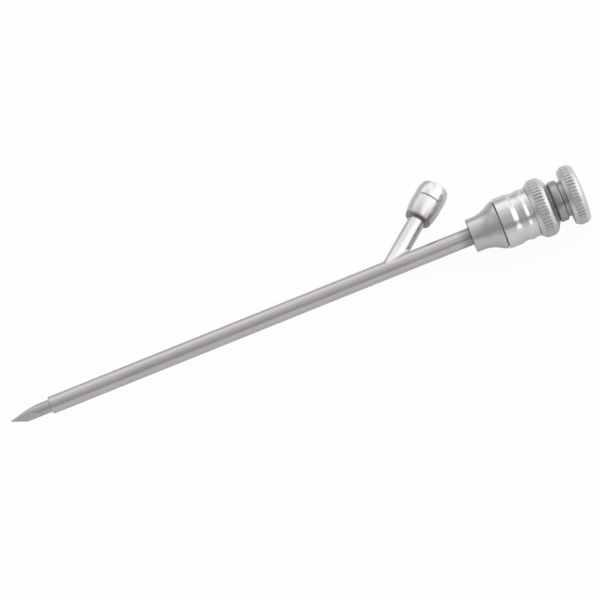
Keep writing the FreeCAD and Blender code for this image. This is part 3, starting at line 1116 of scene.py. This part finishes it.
def makeFloor():
    # a white card: the camera sees it nearly as bright as the page, and its shadow is kept;
    # front and beyond are where the mirrored card starts to brighten, where it ends, and how far
    size = {
        "half": 3.0,
        "below": cadBox[0].z,
        "seen": 0.95,
        "beneath": 0.19,
        "front": (0.012, -0.03, 0.42),
        "beyond": (0.152, 0.168, 1.0),
    }
    bpy.ops.mesh.primitive_plane_add(size=size["half"] * 2, location=(0, 0, size["below"]))
    floor = bpy.context.object
    floor.name = "floor"
    material, tree, shader = newMaterial("matWhiteCard", "#e4e4e4", 0.9, 0.0)
    light = addNode(tree, "ShaderNodeEmission", {"Strength": 1.0})
    ray = addNode(tree, "ShaderNodeLightPath")
    level = mirroredCard(tree, size)
    share = calculate(tree, "MULTIPLY", ray.outputs["Is Glossy Ray"], level.outputs[0])
    for kind in ("Is Camera Ray", "Is Transmission Ray"):
        share = calculate(tree, "MULTIPLY_ADD", ray.outputs[kind], size["seen"], share.outputs[0])
    mixed = addNode(tree, "ShaderNodeMixShader", Fac=(share, "Value"))
    tree.links.new(shader.outputs[0], mixed.inputs[1])
    tree.links.new(light.outputs[0], mixed.inputs[2])
    tree.links.new(mixed.outputs[0], tree.nodes["Material Output"].inputs["Surface"])
    floor.data.materials.append(material)


# a studio tent, as its brightness at angles in degrees from the front horizon, 0, over the top
# to the back one, 180
brightest = 2.0
tent = {
    # behind the middle of the trocar: a strip low in front, a darker gap where the camera
    # stands, and a sky that brightens to the back
    "middle": (
        (0, 0.78), (14, 0.8), (26, 0.48), (36, 0.4), (44, 0.44), (52, 0.55), (64, 0.57),
        (74, 0.62), (85, 0.74), (97, 0.9), (109, 0.93), (114, 0.9), (122, 0.88), (137, 1.1),
        (150, 1.05), (156, 1.0), (163, 0.82), (172, 0.62), (180, 0.45),
    ),
    # dimmer towards the cannula's tip
    "tip": (
        (0, 0.62), (14, 0.65), (26, 0.5), (36, 0.46), (44, 0.48), (52, 0.52), (64, 0.53),
        (85, 0.62), (97, 0.7), (120, 0.78), (137, 0.9), (150, 0.86), (163, 0.7), (180, 0.45),
    ),
    # past the tip, which the bevels of the nut and the knob mirror
    "pastTip": (
        (0, 0.7), (30, 0.5), (45, 0.4), (60, 0.42), (78, 0.58), (100, 0.9), (140, 1.05), (180, 0.7),
    ),
    # a brighter card at the knob's end, which the beads and the side arm mirror
    "knob": (
        (0, 1.5), (16, 1.55), (25, 0.8), (31, 0.45), (39, 0.5), (48, 1.5), (60, 1.7),
        (90, 1.65), (104, 1.45), (125, 1.25), (150, 1.15), (170, 1.05), (180, 1.0),
    ),
    # past the knob, where the gap closes too
    "pastKnob": (
        (0, 1.2), (8, 1.3), (25, 1.6), (45, 1.75), (90, 1.7), (120, 1.6), (180, 1.7),
    ),
}
# how far along X a direction has to point for a side to start and to be reached in full
tentSides = (
    ("tip", -0.1, -0.6),
    ("pastTip", -0.72, -0.9),
    ("knob", 0.06, 0.34),
    ("pastKnob", 0.62, 0.82),
)


def elevationRamp(tree, share, stops):
    levels = addNode(tree, "ShaderNodeValToRGB", Fac=(share, "Result"))
    elements = levels.color_ramp.elements
    elements.remove(elements[1])
    for i, (degrees, level) in enumerate(stops):
        place = degrees / 180
        element = elements[0] if i == 0 else elements.new(place)
        element.position = place
        element.color = (level / brightest, level / brightest, level / brightest, 1)
    return levels


def makeWorld():
    world = bpy.data.worlds.new("studio")
    bpy.context.scene.world = world
    world.use_nodes = True
    tree = world.node_tree
    back = tree.nodes["Background"]
    where = addNode(tree, "ShaderNodeTexCoord")
    parts = addNode(tree, "ShaderNodeSeparateXYZ", Vector=(where, "Generated"))
    front = calculate(tree, "MULTIPLY", parts.outputs["Y"], -1.0)
    angle = calculate(tree, "ARCTAN2", parts.outputs["Z"], front.outputs[0])
    share = ramp(tree, (angle, "Value"), 0.0, math.pi, ease="LINEAR")
    colour = elevationRamp(tree, share, tent["middle"]).outputs["Color"]
    for side, start, end in tentSides:
        reached = ramp(tree, (parts, "X"), start, end)
        both = addNode(tree, "ShaderNodeMix", {"data_type": "RGBA"}, Factor=(reached, "Result"))
        tree.links.new(colour, both.inputs["A"])
        levels = elevationRamp(tree, share, tent[side])
        tree.links.new(levels.outputs["Color"], both.inputs["B"])
        colour = both.outputs["Result"]
    tree.links.new(colour, back.inputs["Color"])
    back.inputs["Strength"].default_value = brightest


def makeLamp():
    # one large weak softbox behind and above, added to the tent there, for a soft shadow
    size = {"width": 1.1, "height": 0.7, "distance": 1.0, "level": 0.3, "aim": 0.08}
    elevation = math.radians(132)
    lamp = bpy.data.lights.new("softbox", "AREA")
    lamp.shape = "RECTANGLE"
    lamp.size = size["width"]
    lamp.size_y = size["height"]
    lamp.energy = size["level"] * math.pi * size["width"] * size["height"]
    thing = linked("softbox", lamp)
    toward = Vector((0, math.cos(elevation), -math.sin(elevation)))
    thing.location = Vector((size["aim"], 0, 0)) - toward * size["distance"]
    thing.rotation_euler = toward.to_track_quat("-Z", "Y").to_euler()


def makeCamera():
    # square to the trocar's axis, and tilted so that the axis rises to the right
    size = {"lens": 300, "sensor": 36, "clip": 20, "across": 0.16667, "aim": 0.07528, "up": 0.00131}
    tilt = math.radians(21.946)
    elevation = math.radians(55.5)
    along = Vector((1, 0, 0))
    rise = Vector((0, math.sin(elevation), math.cos(elevation)))
    look = Vector((0, math.cos(elevation), -math.sin(elevation)))
    right = along * math.cos(tilt) - rise * math.sin(tilt)
    up = along * math.sin(tilt) + rise * math.cos(tilt)
    lens = bpy.data.cameras.new("camera")
    lens.lens = size["lens"]
    lens.sensor_width = size["sensor"]
    lens.clip_end = size["clip"]
    camera = linked("camera", lens)
    distance = size["across"] * size["lens"] / size["sensor"]
    place = along * size["aim"] + rise * size["up"] - look * distance
    turn = Matrix((right, up, -look)).transposed()
    camera.matrix_world = Matrix.Translation(place) @ turn.to_4x4()
    bpy.context.scene.camera = camera


makeFloor()
makeWorld()
makeLamp()
makeCamera()
bpy.context.scene.view_settings.view_transform = "Standard"
print("stage, light and camera made")
